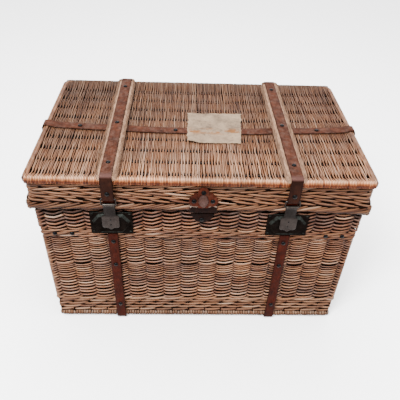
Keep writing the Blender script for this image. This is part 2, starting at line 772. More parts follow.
rods = []
field_half = lid_plan[0] - 0.014
count = int(2 * field_half / LID_PITCH)
sticks_at = STICK_FIRST + np.arange(STICKS) * STICK_STEP
for number in range(count + 1):
    x = -field_half + number * 2 * field_half / count
    reach = reach_at(x, lid_plan)
    samples = (sticks_at[:, None] + STICK_SHARES * STICK_STEP).ravel()
    samples = samples[np.abs(samples) < reach - 0.020]
    which = np.rint((samples - STICK_FIRST) / STICK_STEP)
    beside = (samples - STICK_FIRST) / STICK_STEP - which
    near = np.exp(-(beside * STICK_STEP / LID_CROSSING) ** 2)
    under = (which + number) % 2 == 0
    shallow = np.where(draws.random(STICKS) < SHALLOW_DIVES, draws.uniform(0.35, 0.75, STICKS), 1.0)
    depth = shallow[np.clip(which.astype(int), 0, STICKS - 1)]
    move = np.where(under, -LID_DIVE * depth, LID_CREST) * near
    level = lid_level(x, samples) - LID_ROD - LID_CREST + move
    wander = np.cumsum(draws.normal(0, 0.00020, len(samples)))
    sideways = np.where(under, 0.0, 1.0) * near * draws.normal(0, 0.0003, len(samples))
    field = np.column_stack([x + wander - wander.mean() + sideways, samples, level])
    low_reach = ROLL - LID_ROD
    roll = np.column_stack([
        np.full(5, x),
        -reach + ROLL - low_reach * np.cos(ROLL_ANGLES),
        lid_top - ROLL + low_reach * np.sin(ROLL_ANGLES),
    ])
    tail = [[x, -reach + LID_ROD + 0.0002, lid_bottom + 0.006], [x, -reach + 0.010, lid_bottom + 0.003]]
    points = field_and_edges(np.vstack([roll, tail]), field)
    pieced = np.repeat(draws.normal(0, 0.09, STICKS + 4), 2)[number % 2:]
    spans = np.clip(np.rint((points[:, 1] - STICK_FIRST) / STICK_STEP).astype(int) + 2, 0, STICKS + 3)
    shade = np.clip(0.53 + draws.normal(0, 0.10) + pieced[spans], 0.12, 0.84)
    worn = np.interp(points[:, 1], [-reach, 0.0, reach], [0.10, 0.0, -0.04])
    worn = worn + field_and_edges(EDGE_TINTS, np.where(under, 0.0, near) * 0.08)
    shelter = field_and_edges(EDGE_SHELTER, np.where(under, near * depth, 0.0))
    radius = LID_ROD * draws.uniform(0.80, 1.01)
    rods.append(rod(points, radius, np.clip(shade + worn, 0.05, 0.86), False, shelter))
finished(make_rods("lid_rods", rods), "lid", lid_willow, ["lid_panel"])

# %% [markdown]
# Under the rods lie the cross sticks, and along both ends four thick rods roll down the
# side to close the edge.

# %% Cross sticks and side rods
STICK_RADIUS = 0.0026
STICK_POINTS = 24
SIDE_POINTS = 40


def stick_level(x, y):
    """Height of what lies just under the lid's rods."""
    return lid_level(x, y) - 2 * LID_ROD - STICK_RADIUS


rods = []
for stick_y in sticks_at:
    x = np.linspace(-lid_plan[0] + 0.012, lid_plan[0] - 0.012, STICK_POINTS)
    y = np.full(STICK_POINTS, stick_y)
    rods.append(rod(np.column_stack([x, y, stick_level(x, y)]), STICK_RADIUS, 0.2, False, 1.0))
for side in SIDE_OF.values():
    for inset, drop, radius, tint in (
        (0.0145, 0.0042, 0.0041, 0.42),
        (0.0072, 0.0068, 0.0040, 0.52),
        (0.0038, 0.0128, 0.0037, 0.42),
        (0.0048, 0.0186, 0.0033, 0.34),
    ):
        plan = (lid_plan[0] - inset, lid_plan[1] - inset, LID_CORNER - inset * 0.6)
        span = plan[1] + 0.012
        distance = side * round_length(*plan) / 4 + np.linspace(-span, span, SIDE_POINTS)
        x, y = round_place(distance, plan)
        z = lid_top - drop + draws.normal(0, 0.0002, SIDE_POINTS)
        marked = np.clip(tint + draws.normal(0, 0.13, SIDE_POINTS), 0.12, 0.72)
        rods.append(rod(np.column_stack([x, y, z]), radius, marked))
sticks = make_rods("lid_sticks_and_edges", rods)
finished(sticks, "lid", wale_willow)

# %% [markdown]
# The lid's skirt is waled: its upper strokes climb to the right and its lower ones fall,
# which makes a flat chevron. The border under it is a thick rope of two overlapping
# strokes. Behind both lies a plain woven lining. The right front corner has dropped.

# %% Skirt and border
skirt_low, skirt_high = levels_of("lid_skirt")
border_low, border_high = levels_of("lid_border")
ENDS_OUT = 0.0045
skirt_plan = (skirt_plan[0] + ENDS_OUT, *skirt_plan[1:])
border_plan = (border_plan[0] + ENDS_OUT, *border_plan[1:])
CORNER_HANGS = 0.009
HANGS_FROM_X = 0.28
HANGS_FROM_Y = 0.1


def hang_corner(piece):
    """Stretches the lid's right front corner downwards, as on the old trunk."""
    places = np.empty(len(piece.data.vertices) * 3)
    piece.data.vertices.foreach_get("co", places)
    places = places.reshape(-1, 3)
    right = np.clip((places[:, 0] - HANGS_FROM_X) / (border_plan[0] - HANGS_FROM_X), 0, 1)
    front = np.clip((HANGS_FROM_Y - places[:, 1]) / (HANGS_FROM_Y + border_plan[1]), 0, 1)
    below = np.clip((skirt_high - places[:, 2]) / (skirt_high - border_low), 0, 1)
    places[:, 2] -= CORNER_HANGS * right * front * below
    piece.data.vertices.foreach_set("co", places.ravel())
    print(piece.name, "hangs", round(1000 * CORNER_HANGS, 1), "mm at its right front corner")


def lining(plan, heights, radius, swing, middle):
    """Flat plain rows that close the lid's side from within."""
    rows = []
    for number, height in enumerate(heights):
        rows += siding_rows(plan, [height], [radius], [0.5], swing, middle, 0.001, 0.001, first=number)
    return rows


SKIRT_REACH = 1.85
SKIRT_ROD = 0.0034
SKIRT_ROWS = ((0.0078, 0.0100), (0.0200, 0.0110), (0.0320, -0.0105), (0.0440, -0.0110))
rods = []
for number, (below, rise) in enumerate(SKIRT_ROWS):
    height = skirt_high - below
    rods += wale_strokes(skirt_plan, height, SKIRT_REACH, rise, SKIRT_ROD, 0.55, phase=0.43 * number)
rods += lining(skirt_plan, np.arange(skirt_low + 0.002, lid_top - 0.0165, 0.0050), 0.0023, 0.0009, 0.0124)
deep_lid = back_rounds(skirt_plan, np.arange(skirt_low + 0.002, skirt_high, 0.0052), -0.0072, 0.0027)
rods += wale_strokes(
    border_plan, skirt_low + 0.0008, 1.7, -0.0085, 0.0033, 0.48, -0.0036, tuck=0.006, phase=0.2,
)
deep_lid += back_rounds(border_plan, (skirt_low - 0.0040, skirt_low + 0.0012), -0.0085, 0.0032)
skirt = make_rods("skirt_rods", rods)
hang_corner(skirt)
finished(skirt, "lid", wale_willow, ["lid_skirt"])

BORDER_REACH = 2.1
BORDER_RISE = 0.0230
border_line = (border_low + border_high) / 2 - 0.0012
rods = []
for phase, radius, tint in ((0.0, 0.0037, 0.56), (0.40, 0.0034, 0.47)):
    rods += wale_strokes(
        border_plan, border_line, BORDER_REACH, BORDER_RISE, radius, tint, tuck=0.010, phase=phase,
    )
lining_heights = np.arange(border_low + 0.004, border_high - 0.001, 0.0052)
rods += lining(border_plan, lining_heights, 0.0024, 0.0008, 0.0155)
deep_heights = border_low + np.array([0.0035, 0.0095, 0.0155, 0.0215, 0.0262])
deep_lid += back_rounds(border_plan, deep_heights, -0.0090, 0.0034)
deep_lid += back_rounds(lid_plan, (lid_top - 0.0095,), -0.0095, 0.0045)
border = make_rods("border_rope", rods)
hang_corner(border)
finished(border, "lid", border_willow, ["lid_border"])

# %% [markdown]
# The base is woven like the lid. Its rods turn up round the outer stick, and from outside
# only their short bent ends are seen.

# %% Base
BASE_PITCH = 0.0080
BASE_ROD = 0.0041
BASE_BEND = 0.009
BASE_STICK = 0.0035
BASE_STICK_STEP = 0.052
FIELD_POINTS = 30


def base_shade(middle):
    return np.clip(middle + draws.normal(0, 0.1), 0.3, 1.0)


rods = []
half_x, half_y = body_plan[:2]
field_half = half_x - 0.006
bend_z = base_low + BASE_ROD + BASE_BEND
turn = np.radians([10, 40, 70])
count = int(2 * field_half / BASE_PITCH)
for number in range(count + 1):
    x = -field_half + number * 2 * field_half / count
    reach = reach_at(x, body_plan) - BASE_ROD
    samples = np.linspace(-reach + 0.012, reach - 0.012, FIELD_POINTS)
    wave = 0.0028 * np.cos(samples / BASE_STICK_STEP * math.pi) * (1 if number % 2 else -1)
    field = np.column_stack([np.full(FIELD_POINTS, x), samples, base_low + BASE_ROD + BASE_STICK + wave])
    bend = np.column_stack([
        np.full(3, x),
        -reach + BASE_BEND - BASE_BEND * np.cos(turn),
        bend_z - BASE_BEND * np.sin(turn),
    ])
    high = base_high - 0.003 + draws.normal(0, 0.0008)
    end = [[x, -reach + 0.004, high], [x, -reach, high - 0.004], [x, -reach, bend_z]]
    points = field_and_edges(np.vstack([end, bend])[::-1], field)
    shade = base_shade(0.72)
    rods.append(rod(points, BASE_ROD * draws.uniform(0.88, 1.05), shade))
for side in SIDE_OF.values():
    for y in np.arange(-half_y + 0.02, half_y - 0.016, BASE_PITCH):
        reach = half_x - BASE_ROD
        points = np.array([
            (side * (reach - 0.004), y, base_high - 0.003),
            (side * reach, y, base_high - 0.007),
            (side * reach, y, base_low + 0.012),
            (side * (reach - 0.004), y, base_low + 0.0055),
            (side * (reach - 0.014), y, base_low + 0.0045),
        ])
        shade = base_shade(0.7)
        rods.append(rod(points, BASE_ROD * draws.uniform(0.85, 1.05), shade))
for y in np.arange(-half_y + 0.026, half_y, BASE_STICK_STEP):
    points = np.array([(-half_x + 0.014, y, base_low + 0.0105), (half_x - 0.014, y, base_low + 0.0105)])
    rods.append(rod(points, BASE_STICK, 0.4))
base = make_rods("base_rods", rods)
finished(base, "trunk", base_willow, ["base_panel"])

# %% [markdown]
# The gaps of the real trunk show no daylight, because its wall is two rods deep and what
# lies behind is in shadow. A thin dark loop in the middle of the weave does the same: the
# rods stand out on both sides of it. The stakes and the deep rounds are as dark.

# %% The dark middle of the weave
LAYER = 0.0006
deep_willow = Finish("deep_willow", 0.9, shine=0.0)
deep_streaks = deep_willow.noise(120.0, (0.1, 0.1, 1.0), 4.0)
deep_shades = [(0.35, (0.0008, 0.0005, 0.0004)), (0.7, (0.0040, 0.0022, 0.0014))]
deep_willow.set("Base Color", deep_willow.ramp(deep_streaks, deep_shades))
deep_willow.bump(deep_streaks, 0.001)
finished(stakes, "trunk", deep_willow.material)
for body, rods in (("trunk", deep_trunk), ("lid", deep_lid)):
    deep = make_rods("deep_rounds_of_" + body, rods)
    if body == "lid":
        hang_corner(deep)
    finished(deep, body, deep_willow.material)


def inner_loop(name, body, plan, inset, bottom, top):
    """A thin upright loop; its corners are bevelled upright edges of a box."""
    size = (2 * (plan[0] - inset), 2 * (plan[1] - inset), top - bottom)
    loop = box_piece(name, (0, 0, (bottom + top) / 2), size)
    with editing():
        bpy.ops.mesh.select_mode(type="FACE")
        bpy.ops.mesh.select_all(action="DESELECT")
    for face in loop.data.polygons:
        face.select = abs(face.normal.z) > 0.5
    with editing():
        bpy.ops.mesh.delete(type="ONLY_FACE")
        bpy.ops.mesh.select_mode(type="EDGE")
        bpy.ops.mesh.select_all(action="DESELECT")
    for drawn in loop.data.edges:
        ends = [loop.data.vertices[end].co for end in drawn.vertices]
        drawn.select = abs(ends[0].z - ends[1].z) > size[2] / 2
    with editing():
        bpy.ops.mesh.bevel(offset=max(plan[2] - inset, 0.004), segments=5, affect="EDGES")
    change(loop, "SOLIDIFY", thickness=LAYER)
    finished(loop, body, deep_willow.material)
    print(name, "has", len(loop.data.polygons), "faces")


inner_loop("middle_of_wall", "trunk", body_plan, 0.0092, base_low + 0.005, collar_low + 0.003)
inner_loop("middle_of_collar", "trunk", collar_plan, 0.0076, collar_low + 0.002, rim_high - 0.005)
inner_loop("middle_of_skirt", "lid", skirt_plan, 0.0096, skirt_low - 0.001, lid_top - 0.0138)
inner_loop("middle_of_border", "lid", border_plan, 0.0122, border_low + 0.003, border_high + 0.001)

# %% [markdown]
# The lid and the base have such a sheet too. The lid's follows the sunk weave, and it is
# seen from below when the lid is open, so its underside is banded like the rods' lower
# halves. Its upper side is dark, and narrow dark strips close the rolled edges.

# %% The sheets in the lid and the base
ROD_BANDS = 2 * math.pi / (20 * LID_PITCH)
lid_underside = Finish("lid_underside", 0.8, shine=0.0)
bands = lid_underside.add("ShaderNodeTexWave", {
    "Vector": lid_underside.place(),
    "Scale": ROD_BANDS,
    "Distortion": 0.6,
    "Detail Scale": 0.08,
}, bands_direction="X").outputs["Fac"]
band_shades = [(0.08, (0.002, 0.001, 0.0006)), (0.45, (0.034, 0.014, 0.0070)), (0.9, (0.100, 0.052, 0.030))]
long_streaks = lid_underside.noise(FIBRE, (1.0, ACROSS_FIBRE, 1.0), 4.0, 0.7)
colour = lid_underside.ramp(bands, band_shades)
colour = lid_underside.shade(colour, long_streaks, [(0.3, 0.3), (0.6, 1.2)], 0.8)
facing_up = lid_underside.ramp(lid_underside.up(), [(0.45, 0.0), (0.55, 1.0)])
lid_underside.set("Base Color", lid_underside.mix(facing_up, colour, (0.0012, 0.0007, 0.0005)))
lid_underside.bump(bands, 0.002)

SHEET_INSET = 0.026
under_lid = primitive(
    "middle_of_lid", bpy.ops.mesh.primitive_grid_add, x_subdivisions=48, y_subdivisions=36, size=1,
)
grid = np.array([vertex.co[:2] for vertex in under_lid.data.vertices], dtype=float)
grid_x, grid_y = (2 * (lid_plan[axis] - SHEET_INSET) * grid[:, axis] for axis in (0, 1))
places = np.column_stack([grid_x, grid_y, stick_level(grid_x, grid_y)])
under_lid.data.vertices.foreach_set("co", places.ravel())
change(under_lid, "SOLIDIFY", thickness=LAYER)
finished(under_lid, "lid", lid_underside.material)
print("The sheet under the lid's rods has", len(under_lid.data.polygons), "faces")


def inner_sheet(name, body, middle, size):
    """A thin flat sheet between two layers of weave."""
    sheet = box_piece(name, middle, (*size, LAYER))
    finished(sheet, body, deep_willow.material)


base_size = (2 * body_plan[0] - 0.02, 2 * body_plan[1] - 0.02)
inner_sheet("middle_of_base", "trunk", (0, 0, base_low + 0.0080), base_size)
STRIP_WIDTH = 0.027
STRIP_INSET = 0.0185
for name, way in SIDE_OF.items():
    place = (way * (lid_plan[0] - STRIP_INSET), 0, lid_top - 0.0152)
    inner_sheet("middle_of_lid_" + name, "lid", place, (STRIP_WIDTH, 2 * lid_plan[1] - 0.020))
for name, way in (("front", -1), ("rear", 1)):
    place = (0, way * (lid_plan[1] - STRIP_INSET), lid_top - 0.0162)
    inner_sheet("middle_of_lid_" + name, "lid", place, (2 * lid_plan[0] - 0.020, STRIP_WIDTH))

# %% [markdown]
# Bridle leather starts red-brown. Dust and sun turn it dull on the lid, where it lies flat,
# and hands and friction polish it where it bends at the front. The scuffs come from noises,
# and the dark edges from each strap's own across-the-width number.

# %% Leather finishes
LID_DUST = (0.060, 0.0350, 0.0265)
PATCH_DUST = (0.054, 0.0255, 0.0155)
POLISHED = (0.0014, 0.0003, 0.0002)
SKY_ON_BEND = (0.043, 0.0205, 0.0172)
FRONT_END = [(0.222, 1.0), (0.233, 0.0)]
LEVEL_FACES = [(0.66, 0.0), (0.88, 0.9)]
STRAP_EDGE = [(0.72, 0.0), (1.0, 0.75)]


def leather(name, deep, worn, dust, roughness, dust_colour=PATCH_DUST, polish_front=False):
    """Old leather: mottled, scuffed and dusty, with dark edges."""
    finish = Finish(name, roughness, shine=0.014)
    mottle = finish.noise(38.0, detail=6.0, roughness=0.65)
    between = tuple(0.5 * (low + high) for low, high in zip(deep, worn))
    colour = finish.ramp(mottle, [(0.32, deep), (0.55, between), (0.74, worn)])
    scuffs = finish.noise(210.0, (1.0, 0.35, 0.35), 5.0, 0.75)
    colour = finish.shade(colour, scuffs, [(0.36, 0.55), (0.52, 1.0), (0.7, 1.35)], 0.7)
    edge = finish.ramp(finish.sum(finish.kept("across"), 0.0, "ABSOLUTE"), STRAP_EDGE)
    colour = finish.mix(edge, colour, tuple(0.5 * part for part in deep))
    grime = finish.ramp(finish.noise(64.0, detail=7.0, roughness=0.75), [(0.46, 0.0), (0.64, dust)])
    if polish_front:
        front = finish.ramp(finish.coordinate("Y"), FRONT_END)
        colour = finish.mix(finish.sum(front, 0.75, "MULTIPLY"), colour, POLISHED)
        bend = finish.sum(front, finish.ramp(finish.up(), LEVEL_FACES), "MULTIPLY")
        colour = finish.mix(bend, colour, SKY_ON_BEND)
        grime = finish.sum(grime, finish.sum(1.0, front, "SUBTRACT"), "MULTIPLY")
    colour = finish.mix(grime, colour, dust_colour)
    finish.set("Base Color", colour)
    finish.set("Roughness", finish.ramp(mottle, [(0.3, roughness - 0.12), (0.7, roughness + 0.16)]))
    finish.bump(scuffs, 0.0007, 0.6)
    finish.bump(finish.noise(30.0, detail=2.0), 0.002, 0.35)
    return finish.material


lid_leather = leather(
    "lid_leather", (0.0150, 0.0047, 0.0026), (0.049, 0.0160, 0.0088), 0.44, 0.5, LID_DUST, polish_front=True,
)
wall_leather = leather("wall_leather", (0.0078, 0.00115, 0.0005), (0.024, 0.0035, 0.0013), 0.03, 0.42)
patch_leather = leather("patch_leather", (0.0075, 0.0016, 0.0009), (0.034, 0.0066, 0.0031), 0.18, 0.36)
dark_leather = leather("dark_leather", (0.0011, 0.0003, 0.0002), (0.0050, 0.0013, 0.0007), 0.02, 0.4)
keeper_leather = leather("keeper_leather", (0.0130, 0.0058, 0.0046), (0.044, 0.0250, 0.0215), 0.2, 0.36)
torn_leather = leather("torn_leather", (0.045, 0.0300, 0.0230), (0.130, 0.0950, 0.0760), 0.2, 0.7)
grip_leather = leather("grip_leather", (0.0085, 0.0022, 0.0012), (0.025, 0.0065, 0.0034), 0.06, 0.4)

# %% [markdown]
# The metal is stamped sheet iron, once lacquered black. It is nearly black on the flats,
# browned where the lacquer has gone, and rubbed a little lighter on its upper slopes. The
# bare washers inside are bright steel with rust.

# %% Metal finishes
NECK_SHADE = [(0.437, 1.15), (0.446, 0.42), (0.472, 0.5), (0.480, 1.1)]


def old_metal(name, colours, share, roughness=0.42, rubbed=(0.05, 0.05, 0.05), metallic=0.95, heights=()):
    """Metal of a dark and a light colour, and a share of a tarnished one."""
    dark, light, tarnish = colours
    finish = Finish(name, roughness, metallic, 0.03 * metallic)
    cloud = finish.noise(55.0, detail=6.0, roughness=0.65)
    colour = finish.ramp(cloud, [(0.3, dark), (0.72, light)])
    spots = finish.ramp(finish.noise(90.0, detail=8.0, roughness=0.7), [(0.5, 0.0), (0.68, share)])
    colour = finish.mix(spots, colour, tarnish)
    upper = finish.ramp(finish.up(), [(0.64, 0.0), (0.80, 1.0)])
    wear = finish.ramp(finish.noise(150.0, detail=5.0), [(0.35, 0.25), (0.6, 1.0)])
    colour = finish.mix(finish.sum(upper, wear, "MULTIPLY"), colour, rubbed)
    if heights:
        colour = finish.shade(colour, finish.coordinate("Z", 0.0), heights)
    finish.set("Base Color", colour)
    finish.set("Roughness", finish.ramp(cloud, [(0.3, roughness - 0.1), (0.7, roughness + 0.2)]))
    finish.bump(finish.noise(120.0, detail=4.0, roughness=0.7), 0.0006, 0.5)
    return finish.material


black_iron = old_metal("black_iron", [
    (0.0008, 0.0005, 0.0004), (0.0030, 0.0019, 0.0015), (0.0042, 0.0036, 0.0030),
], 0.3, rubbed=(0.0130, 0.0150, 0.0134), metallic=0.05)
pewter = old_metal("pewter", [
    (0.0066, 0.0047, 0.0041), (0.0175, 0.0133, 0.0116), (0.0050, 0.0038, 0.0033),
], 0.6, rubbed=(0.026, 0.023, 0.020), heights=NECK_SHADE)
bronze_wire = old_metal("bronze_wire", [
    (0.0050, 0.0034, 0.0028), (0.016, 0.0112, 0.0090), (0.007, 0.0065, 0.005),
], 0.5, 0.36)
stud_metal = old_metal("stud_metal", [
    (0.0008, 0.0007, 0.0007), (0.0026, 0.0024, 0.0025), (0.0036, 0.0026, 0.0021),
], 0.4, rubbed=(0.0066, 0.0066, 0.0070))
washer_steel = old_metal("washer_steel", [
    (0.024, 0.022, 0.021), (0.072, 0.069, 0.066), (0.042, 0.020, 0.010),
], 0.6, 0.5)

# %% [markdown]
# The battens are soft weathered wood with a coarse grain and dirt in it. The label is coarse
# canvas, once glued down: bare, smudged, and stained with rust where the strap touches it.

# %% Wood and canvas finishes
GREY_WOOD = [(0.3, (0.042, 0.0215, 0.0120)), (0.5, (0.144, 0.0800, 0.0480)), (0.7, (0.265, 0.1630, 0.1030))]
grey_wood = Finish("grey_wood", 0.85)
grain = grey_wood.noise(190.0, (1.0, 0.16, 1.0), 6.0, 0.75)
dirt = grey_wood.noise(42.0, detail=6.0, roughness=0.7)
colour = grey_wood.shade(grey_wood.ramp(grain, GREY_WOOD), dirt, [(0.3, 0.62), (0.62, 1.08)], 0.9)
grey_wood.set("Base Color", colour)
grey_wood.bump(grain, 0.0016, 0.8)

THREADS = 900.0 / 6.283
SMUDGED = [(0.30, (0.060, 0.0390, 0.0250)), (0.46, (0.140, 0.0960, 0.0620)), (0.66, (0.190, 0.1340, 0.0860))]
RUST = (0.098, 0.0370, 0.0092)
STRAP_UNDER_LABEL = 0.030
canvas = Finish("canvas", 0.92)
threads = []
for way in "XY":
    inputs = {"Vector": canvas.place(), "Scale": THREADS, "Distortion": 0.6}
    threads.append(canvas.add("ShaderNodeTexWave", inputs, bands_direction=way).outputs["Fac"])
cloth = canvas.mix(0.5, *threads)
smudge = canvas.noise(24.0, detail=7.0, roughness=0.7)
colour = canvas.mix(0.35, canvas.ramp(smudge, SMUDGED), cloth, "MULTIPLY")
from_strap = canvas.sum(canvas.coordinate("Y", STRAP_UNDER_LABEL), 0.0, "ABSOLUTE")
rust = canvas.ramp(canvas.noise(27.0, (1.0, 2.2, 1.0), 5.0, 0.62), [(0.49, 0.0), (0.56, 1.0)])
colour = canvas.mix(canvas.shade(rust, from_strap, [(0.006, 1.0), (0.020, 0.0)]), colour, RUST)
stains = canvas.noise(11.0, detail=8.0, roughness=0.78)
colour = canvas.shade(colour, stains, [(0.36, 0.55), (0.50, 1.0), (0.68, 1.18)], 0.85)
flecks = canvas.noise(150.0, detail=4.0, roughness=0.6)
colour = canvas.shade(colour, flecks, [(0.30, 0.45), (0.40, 1.0)], 0.8)
canvas.set("Base Color", colour)
canvas.bump(cloth, 0.0004, 0.5)
canvas.bump(smudge, 0.003, 0.4)

# %% [markdown]
# A strap is one row of edges drawn along a path, as leather is drawn off a roll. Each step
# is an extrude, a row may be made wider or narrower, and Solidify and Bevel give the
# thickness and the rounded edge. The path always runs so that the faces look outwards.

# %% A strap from extruded rows
STRAP_COLUMNS = 4
LEATHER_ROUND = 0.0009


def rounded(points, radius, steps=5):
    """A path in one plane with its corners rounded."""
    points = [Vector(point) for point in points]
    path = [points[0]]
    for before, corner, after in zip(points, points[1:], points[2:]):
        back, on = (before - corner), (after - corner)
        near = min(radius, back.length * 0.48, on.length * 0.48)
        start, end = corner + back.normalized() * near, corner + on.normalized() * near
        for step in range(steps + 1):
            share = step / steps
            path.append(start * (1 - share) ** 2 + corner * 2 * share * (1 - share) + end * share ** 2)
    return path + [points[-1]]


def spaced(path, longest):
    """The same path with long runs divided."""
    filled = [path[0]]
    for before, after in zip(path, path[1:]):
        parts = max(1, math.ceil((after - before).length / longest))
        filled += [before.lerp(after, part / parts) for part in range(1, parts + 1)]
    return filled


def strap(name, path, width, thickness, wide="x", ragged=0.0, edge=LEATHER_ROUND):
    """A strip drawn along a path; width may be one number or one for each row."""
    widths = np.broadcast_to(width, len(path)).astype(float)
    side = Vector((1, 0, 0)) if wide == "x" else Vector((0, 1, 0))
    strip = primitive(
        name, bpy.ops.mesh.primitive_grid_add, x_subdivisions=STRAP_COLUMNS, y_subdivisions=1, size=1,
    )
    for number, vertex in enumerate(strip.data.vertices):
        row, column = divmod(number, STRAP_COLUMNS + 1)
        vertex.co = path[row] + side * widths[row] * (column / STRAP_COLUMNS - 0.5)
    for part in (strip.data.edges, strip.data.polygons, strip.data.vertices):
        part.foreach_set("select", [False] * len(part))
    for vertex in list(strip.data.vertices)[STRAP_COLUMNS + 1:]:
        vertex.select = True
    for drawn in strip.data.edges:
        drawn.select = all(strip.data.vertices[end].select for end in drawn.vertices)
    with editing():
        for row in range(2, len(path)):
            bpy.ops.mesh.extrude_region_move(TRANSFORM_OT_translate={"value": path[row] - path[row - 1]})
            if abs(widths[row] - widths[row - 1]) > 1e-6:
                share = widths[row] / widths[row - 1]
                scale = [share if axis == wide else 1.0 for axis in "xyz"]
                bpy.ops.transform.resize(value=scale, center_override=path[row])
        bpy.ops.mesh.select_all(action="SELECT")
        if ragged:
            bpy.ops.transform.vertex_random(offset=ragged, seed=len(name))
    share = np.tile(np.linspace(-1, 1, STRAP_COLUMNS + 1), len(path))
    across = strip.data.attributes.new("across", "FLOAT", "POINT")
    across.data.foreach_set("value", share.astype(np.float32))
    return thicken(strip, thickness, edge)


def thicken(strip, thickness, edge):
    """Gives a sheet its thickness on the side its faces look to, and rounds its edges."""
    pick(strip)
    change(strip, "SOLIDIFY", thickness=thickness, offset=1)
    change(strip, "BEVEL", width=edge, segments=2, limit_method="ANGLE", angle_limit=math.radians(50))
    smooth(45)
    print(strip.name, "has", len(strip.data.polygons), "faces")
    return strip


def round_bar(bar, radius, angles, wide="x", up=1):
    """Points round a bar that runs along the strap's width, at angles in degrees."""
    points = []
    for turn in np.radians(angles):
        aside = radius * math.cos(turn)
        rise = up * radius * math.sin(turn)
        points.append(bar + Vector((0, aside, rise) if wide == "x" else (aside, 0, rise)))
    return points


# %% [markdown]
# The battens go on first. Each is a board whose edges are worn round, frayed by moving
# every vertex a little, and it lies along the lid from its front edge to its rear.

# %% Battens
BATTEN_END = 0.014
BATTEN_EDGE = 0.0022
BATTEN_CUTS = 60
FRAY = 0.0011


def cut(point, direction):
    """Cuts the whole piece by a plane, so that it has more vertices to move."""
    bpy.ops.mesh.select_all(action="SELECT")
    bpy.ops.mesh.bisect(plane_co=point, plane_no=direction)


for side in SIDE_OF:
    low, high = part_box("batten_" + side)
    middle = (low + high) / 2
    size = high - low
    batten = box_piece("batten_board_" + side, middle, size)
    with editing():
        bpy.ops.mesh.select_all(action="SELECT")
        bpy.ops.mesh.bevel(offset=BATTEN_END, segments=4, affect="EDGES")
        cut(middle, (1, 0, 0))
        for step in range(1, BATTEN_CUTS):
            cut((0, low.y + size.y * step / BATTEN_CUTS, 0), (0, 1, 0))
        cut((0, 0, middle.z), (0, 0, 1))
        bpy.ops.mesh.select_all(action="SELECT")
        bpy.ops.transform.vertex_random(offset=FRAY, seed=5)
    change(batten, "BEVEL", width=BATTEN_EDGE, segments=2, angle_limit=math.radians(55))
    smooth(50)
    finished(batten, "lid", grey_wood.material, ["batten_" + side])
    print(batten.name, [round(value, 4) for value in size])

# %% [markdown]
# One long strap runs over each batten. At the front it bends over the lid's edge, hangs
# down, and folds back round the ring; at the rear it steps off the batten, bends over the
# edge and ends above the hinge.

# %% Long lid straps
LEATHER = 0.003
RING_WIRE = 0.002
WIRE_ROOM = 0.0001


def ring_bar(side, x, upper):
    """Middle of a ring's upper or lower bar at x."""
    low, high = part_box("ring_" + side)
    return Vector((x, (low.y + high.y) / 2, high.z - RING_WIRE if upper else low.z + RING_WIRE))


for side in SIDE_OF:
    strap_low, strap_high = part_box("lid_strap_" + side)
    rear_low, rear_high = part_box("rear_drop_" + side)
    x = (strap_low.x + strap_high.x) / 2
    bar = ring_bar(side, x, True)
    hold = RING_WIRE + WIRE_ROOM
    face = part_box("front_drop_" + side)[0].y + LEATHER
    top = strap_low.z + 0.0002
    batten_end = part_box("batten_" + side)[1].y
    fold = [Vector((x, bar.y + hold, bar.z + 0.012)), Vector((x, bar.y + hold, bar.z))]
    fold += round_bar(bar, hold, range(30, 151, 30), up=-1)
    over = rounded([
        (x, face, bar.z),
        (x, face, top),
        (x, batten_end + 0.002, top),
        (x, batten_end + 0.006, lid_top + 0.0005),
        (x, rear_high.y - LEATHER, lid_top + 0.0005),
        (x, rear_high.y - LEATHER, rear_low.z),
    ], 0.008)
    width = strap_high.x - strap_low.x
    long_strap = strap("long_strap_" + side, fold + spaced(over, 0.012), width, LEATHER, ragged=0.00035)
    finished(long_strap, "lid", lid_leather, [
        "lid_strap_" + side, "front_drop_" + side, "rear_drop_" + side,
    ])
    flap_path = [Vector((x, bar.y + 0.0059, border_high + step)) for step in (0.0005, 0.010, 0.020, 0.027)]
    flap = strap("flap_behind_ring_" + side, flap_path, width - 0.001, 0.0012, ragged=0.0002)
    finished(flap, "lid", wall_leather)

# %% [markdown]
# The cross strap passes under both battens and follows the sunk weave between them. It
# was never straight: its ends sit further back than its middle.

# %% Cross strap
cross_low, cross_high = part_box("cross_strap")
ends_low, ends_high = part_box("cross_strap_ends")
CROSS_BOW = 0.016
CROSS_THICK = 0.0024
cross_y = (cross_low.y + cross_high.y) / 2
cross_width = cross_high.y - cross_low.y
reach = lid_high.x - 0.004


def strap_rest(x):
    """Where the cross strap lies on the weave: its middle line's y and z."""
    y = cross_y + CROSS_BOW * min(1.0, abs(x) / reach) ** 2
    z = float(lid_level(np.float64(x), np.float64(y)))
    if abs(abs(x) - BATTEN_OUT) < 0.036:
        return y, z
    return y, min(z + 0.0004, cross_low.z + 0.0002)


edge_y = cross_y + CROSS_BOW
side_face = ends_high.x - LEATHER
down = [(side_face, ends_low.z), (side_face, ends_low.z + 0.02), (side_face, lid_top - 0.009)]
down += [(side_face - 0.003, lid_top - 0.001)]
path = [Vector((x, edge_y, z)) for x, z in down]
path += [Vector((x, *strap_rest(x))) for x in np.linspace(reach - 0.006, -reach + 0.006, 75)]
path += [Vector((-x, edge_y, z)) for x, z in down[::-1]]
cross = strap("cross_band", path, cross_width, CROSS_THICK, wide="y", ragged=0.0003)
finished(cross, "lid", lid_leather, ["cross_strap", "cross_strap_ends"])

# %% [markdown]
# The same leather goes round the body: down the rear wall, under the base and up the front
# until it meets the lock plate. At the back two more strips are the hinges, the only
# pieces that must bend, so they are blended between the trunk and the lid.

